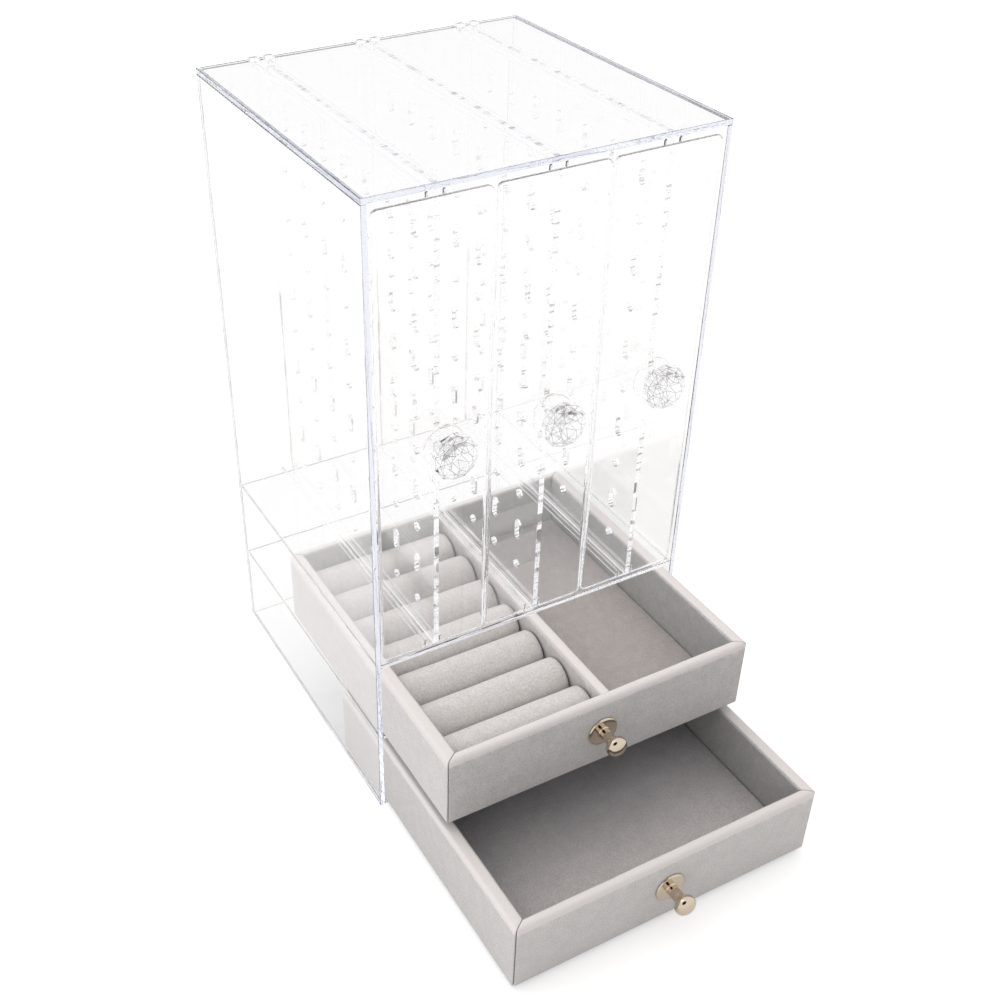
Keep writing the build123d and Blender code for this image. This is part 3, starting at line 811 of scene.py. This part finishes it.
def roll_surface(low, high, end_round, bulge, spacing, seed):
    """A roll along X as a closed grid with a pole at each end.

    A section is the circle r * (cos a, sin a), its front and back held within the bounds. Along the roll
    the radius falls to r - end_round by a quarter circle, and the end swells by bulge * (1 - s^2). The
    whole skin waves by ROLL_WAVE_HEIGHT.
    """
    centre, half = (low + high) / 2, (high - low) / 2
    radius = half[2]
    rim = np.linspace(0, np.pi / 2, RIM_ROWS)
    reach_end = (half[0] - bulge) - end_round * (1 - np.sin(rim))
    radius_end = radius - end_round * (1 - np.cos(rim))
    face = np.linspace(1, 0, FACE_ROWS + 2)[1:-1] * (radius - end_round)
    reach_face = half[0] - bulge * (face / (radius - end_round)) ** 2
    middle = np.linspace(-1, 1, int(2 * half[0] / spacing))[1:-1] * reach_end[0]
    reach = np.concatenate([-reach_face[::-1], -reach_end[::-1], middle, reach_end, reach_face])
    around = np.concatenate([face[::-1], radius_end[::-1], np.full(len(middle), radius), radius_end, face])
    turn = np.linspace(0, 2 * np.pi, ROLL_AROUND + 1)[:-1]
    x = np.repeat(reach[:, None], len(turn), axis=1)
    y = around[:, None] * np.cos(turn)[None]
    z = around[:, None] * np.sin(turn)[None]
    points = np.stack([x, y, z], axis=-1)
    push = ripple(points, ROLL_WAVE, seed) * ROLL_WAVE_HEIGHT * (around[:, None] / radius) ** 2
    points[..., 1] += np.cos(turn)[None] * (push - ROLL_WAVE_HEIGHT)
    points[..., 2] += np.sin(turn)[None] * (push - ROLL_WAVE_HEIGHT)
    points[..., 1] = points[..., 1].clip(-half[1], half[1])
    points[..., 2] = points[..., 2].clip(-half[2], half[2])
    poles = np.array([[-half[0], 0, 0], [half[0], 0, 0]])
    return points + centre, poles + centre


def closed_roll(points, poles):
    """All points of a ring grid and its two poles, with quads between rows and a fan at each pole."""
    rows, columns = points.shape[:2]
    quads = [list(q) for q in grid_quads(rows, columns, ring=True)]
    ring = np.arange(columns)
    after = np.roll(ring, -1)
    size = rows * columns
    first = np.stack([np.full(columns, size), after, ring], axis=-1)
    last = np.stack([np.full(columns, size + 1), ring + size - columns, after + size - columns], axis=-1)
    faces = quads + first.tolist() + last.tolist()
    return np.concatenate([points.reshape(-1, 3), poles]), faces


print("points round a roll:", ROLL_AROUND)

# %% Build the rolls
ROLL_COUNT, ROLL_SEED = 7, 50
ROLL_END_ROUND, ROLL_BULGE, ROLL_NAP = 1.5 * MM, 0.4 * MM, 0.72
PINNED_ROWS = FACE_ROWS + RIM_ROWS - 1  # an end and its rim, where the sleeve is tucked in
rolls = []
for number in range(1, ROLL_COUNT + 1):
    low, high = (np.array(c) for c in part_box(f"ring_roll_{number}"))
    grid, poles = roll_surface(low, high, ROLL_END_ROUND, ROLL_BULGE, CLOTH_SPACING, ROLL_SEED + number)
    points, faces = closed_roll(grid, poles)
    roll = build_piece(f"ring_roll_{number}_velvet", points, faces, velvet_wrap, "upper_drawer",
                       [f"ring_roll_{number}"], nap_and_painted_light=ROLL_NAP)
    rows, columns = grid.shape[:2]
    rims = np.r_[0:PINNED_ROWS, rows - PINNED_ROWS:rows]
    pin(roll, (rims[:, None] * columns + np.arange(columns)).ravel())
    rolls.append(roll)
print(len(rolls), "rolls,", round(float(high[0] - low[0]) / MM, 1), "mm long")
swell(rolls, ROLL_PRESSURE, SWELL_CAP)

# %% [markdown]
# ## Metal knobs
# The little knobs are turned or cast in zinc, polished and nickel plated, with a warm champagne cast. A
# lathe shape is a profile turned about the axis, so the profile is all there is to write: a few corners for
# the plate and the neck, and a formula for the dome of the head.

# %% Nickel and steel
def polished_metal(name, colour, roughness, scratch_mm, scratch_height_mm):
    """Plated metal: full metallic reflection in the metal's own colour, with fine handling marks."""
    material, tree, output = new_material(name)
    where = add(tree, "ShaderNodeTexCoord")
    marks = add(tree, "ShaderNodeTexNoise", {"Vector": where.outputs["Object"],
                                             "Scale": 1 / (scratch_mm * MM), "Detail": 4.0})
    bump = add(tree, "ShaderNodeBump", {"Height": marks.outputs["Fac"], "Strength": 1.0,
                                        "Distance": scratch_height_mm * MM})
    rough = add(tree, "ShaderNodeMapRange", {"Value": marks.outputs["Fac"], "To Min": roughness * 0.7,
                                             "To Max": roughness * 1.4})
    metal = add(tree, "ShaderNodeBsdfPrincipled", {
        "Base Color": hex_colour(colour), "Metallic": 1.0, "Roughness": rough.outputs[0],
        "Normal": bump.outputs["Normal"]})
    tree.links.new(metal.outputs[0], output.inputs["Surface"])
    return material


# Polished nickel plate over zinc: a sharp mirror of the room in a warm grey, with one dark spot.
nickel = polished_metal("champagne_nickel_plate", "#CEC0AC", 0.06, 1.2, 0.003)
# Zinc-plated steel, as rolled: a dull grey shine. Its marks are drawn coarser than real ones of 0.05 mm.
screw_steel = polished_metal("bright_screw_steel", "#B4B4B4", 0.3, 0.4, 0.01)
print("metals:", nickel.name, screw_steel.name)

# %% Turned shapes
def smooth_profile(corners, steps):
    """A curve through (reach, radius) corners, as a Catmull-Rom spline:

    p(t) = ((2 p1) + (p2 - p0) t + (2 p0 - 5 p1 + 4 p2 - p3) t^2 + (3 p1 - p0 - 3 p2 + p3) t^3) / 2.
    """
    p = np.asarray(corners, float)
    p = np.vstack([2 * p[0] - p[1], p, 2 * p[-1] - p[-2]])
    t = np.linspace(0, 1, steps, endpoint=False)[:, None]
    runs = [(2 * b + (c - a) * t + (2 * a - 5 * b + 4 * c - d) * t ** 2
             + (3 * b - a - 3 * c + d) * t ** 3) / 2
            for a, b, c, d in zip(p[:-3], p[1:-2], p[2:-1], p[3:])]
    return np.vstack([*runs, p[-2:-1]])


def turned_surface(profile, axis_x, axis_z, front_y, segments):
    """A profile of (reach, radius) turned about an axis along -Y, with a pole at each end.

    A point is (axis_x - r sin a, front_y - reach, axis_z + r cos a).
    """
    turn = np.linspace(0, 2 * np.pi, segments + 1)[:-1]
    reach, radius = profile[1:-1, 0][:, None], profile[1:-1, 1][:, None]
    points = np.stack([axis_x - radius * np.sin(turn), np.repeat(front_y - reach, segments, axis=1),
                       axis_z + radius * np.cos(turn)], axis=-1)
    poles = np.array([[axis_x, front_y - end, axis_z] for end in profile[[0, -1], 0]])
    return closed_roll(points, poles)


print("three corners give", len(smooth_profile([(0, 0), (1, 1), (2, 0)], 4)), "points on a curve")

# %% Build the metal knobs
AROUND, CURVE_STEPS, DOME_STEPS = 64, 6, 14
NECK_RADIUS = 2.6 * MM
RIM_FROM_START = 9.6 * MM  # where the head is widest, from the knob's foot
for drawer in DRAWERS:
    plate_low, plate_high = (np.array(c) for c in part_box(f"{drawer}_knob_plate"))
    knob_low, knob_high = (np.array(c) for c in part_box(f"{drawer}_knob"))
    axis_x = (plate_low[0] + plate_high[0]) / 2
    axis_z = (plate_low[2] + plate_high[2]) / 2
    face_y = plate_high[1]
    plate_r = (plate_high[0] - plate_low[0]) / 2
    thick = plate_high[1] - plate_low[1]
    plate_edge = [(thick * 0.1, plate_r), (thick * 0.45, plate_r), (thick * 0.8, plate_r * 0.96),
                  (thick * 0.96, plate_r * 0.86), (thick, plate_r * 0.7)]
    plate = np.vstack([[(0, 0)], smooth_profile([(0, plate_r * 0.5), (0, plate_r * 0.97)], 3),
                       smooth_profile(plate_edge, CURVE_STEPS), [(thick, 0)]])
    points, faces = turned_surface(plate, axis_x, axis_z, face_y, AROUND)
    build_piece(f"{drawer}_knob_base_nickel", points, faces, nickel, drawer,
                [f"{drawer}_knob_plate"])
    head_r = (knob_high[0] - knob_low[0]) / 2
    start = face_y - knob_high[1]
    tip = face_y - knob_low[1]
    rim = start + RIM_FROM_START
    neck = [(0, NECK_RADIUS + 0.35 * MM), (0.35 * MM, NECK_RADIUS + 0.08 * MM), (1.0 * MM, NECK_RADIUS),
            (3.5 * MM, NECK_RADIUS), (6.0 * MM, NECK_RADIUS), (6.6 * MM, NECK_RADIUS + 0.35 * MM),
            (7.4 * MM, head_r * 0.8), (8.2 * MM, head_r * 0.95), (8.9 * MM, head_r)]
    dome = np.linspace(0, np.pi / 2, DOME_STEPS)
    head = np.stack([tip - (tip - rim) * (1 - np.sin(dome)), head_r * np.cos(dome) ** 0.9], axis=-1)
    knob = np.vstack([[(start, 0)], smooth_profile(np.array(neck) + [start, 0], CURVE_STEPS)[:-1],
                      head[:-1], [(tip, 0)]])
    points, faces = turned_surface(knob, axis_x, axis_z, face_y, AROUND)
    build_piece(f"{drawer}_knob_nickel", points, faces, nickel, drawer, [f"{drawer}_knob"])
    print(drawer, "knob:", round((tip - start) / MM, 1), "mm long,", round(2 * head_r / MM, 1), "mm wide")

# %% [markdown]
# The screws and the floor boards are plain shapes that can't be seen, and their solids are right as they
# are. They only take a finish: the screws bright steel, and the boards the velvet that is folded under them.

# %% Finish of the solids that stay
for drawer in DRAWERS:
    for piece, finish in (("knob_screw", screw_steel), ("floor_board", velvet_wrap)):
        slots = NODES[f"{drawer}_{piece}"].data.materials
        slots.clear()
        slots.append(finish)
        print(drawer, piece, "takes", finish.name)

# %% [markdown]
# ## Crystal knobs
# The clear knobs are moulded to look like cut crystal: a narrow neck on a disc, a cone of facets that opens
# to a wide girdle, and a crown of facets round a flat table. Where two rings of corners line up they make
# upright facets, as on the neck and the girdle, and the two rings that are turned by half a step make
# triangles. The edges between facets are rounded a little and take a darker acrylic, as painted dark lines.

# %% Faceted surface
def facet_rings(rings, count):
    """Corners of a cut stone: ring k has count corners at the angles a = (i + turn_k / 2) * 2 pi / count.

    A corner is (-radius sin a, -reach, radius cos a), so the stone points along -Y.
    """
    reach, radius, turn = np.array(rings, float).T[:, :, None]
    angle = (np.arange(count) + turn / 2) * 2 * np.pi / count
    return np.stack([-radius * np.sin(angle), np.broadcast_to(-reach, angle.shape),
                     radius * np.cos(angle)], axis=-1)


def facet_faces(rings, count):
    """Triangles between rings turned by half a step, quads between rings that line up, and both caps."""
    faces = [list(range(count))[::-1]]
    step = np.arange(count)
    beside = (step + 1) % count
    for k in range(len(rings) - 1):
        a, b = k * count, (k + 1) * count
        if rings[k][2] == rings[k + 1][2]:
            faces += np.stack([a + step, a + beside, b + beside, b + step], axis=-1).tolist()
        elif rings[k][2] < rings[k + 1][2]:
            faces += np.stack([a + step, a + beside, b + step], axis=-1).tolist()
            faces += np.stack([a + beside, b + beside, b + step], axis=-1).tolist()
        else:
            faces += np.stack([a + step, b + beside, b + step], axis=-1).tolist()
            faces += np.stack([a + step, a + beside, b + beside], axis=-1).tolist()
    faces.append([(len(rings) - 1) * count + i for i in range(count)])
    return faces


print("two rings of ten corners, turned, have", len(facet_faces([(0, 1, 0), (1, 1, 1)], 10)), "faces")

# %% Build the crystal knobs
FACETS = 10
FACET_ROUND, FACET_STEPS, FACET_TURN = 0.10 * MM, 2, 4
EDGE_SLOT = 1
for place in ("left", "centre", "right"):
    low, high = (np.array(c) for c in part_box(f"{place}_crystal_knob"))
    axis = ((low[0] + high[0]) / 2, high[1], (low[2] + high[2]) / 2)
    wide = (high[0] - low[0]) / 2
    deep = high[1] - low[1]
    # Each ring: its distance from the disc, its radius, and 1 where it is turned by half a step
    rings = [(0.0, 4.4 * MM, 0), (1.0 * MM, 3.8 * MM, 0), (4.0 * MM, 7.4 * MM, 1), (6.6 * MM, wide, 0),
             (9.6 * MM, wide, 0), (11.6 * MM, wide * 0.84, 1), (deep, wide * 0.5, 0)]
    points = facet_rings(rings, FACETS) + np.array(axis) - [0, GLUE_LINE, 0]
    crystal = build_piece(f"{place}_cut_crystal", points, facet_faces(rings, FACETS), crystal_acrylic,
                          f"{place}_earring_drawer", [f"{place}_crystal_knob"],
                          smooth=False)
    # The rounded facet edges take the darker acrylic: painted dark lines along the cut.
    crystal.data.materials.append(crystal_edges_painted_dark)
    rounded = soften_edges(crystal.data, FACET_ROUND, FACET_STEPS, FACET_TURN, EDGE_SLOT)
    print(crystal.name, "rounded facet edges:", rounded)
    crystal.visible_shadow = False
    crystal.visible_diffuse = False

# %% [markdown]
# ## Size
# The dressed model's size is printed here, to set beside the size of the solids. The dressed model
# has to keep the size of the solids.

# %% Finish
low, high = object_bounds()
print("dressed size:", *((np.array(high) - np.array(low)) / MM).round(1), "mm")
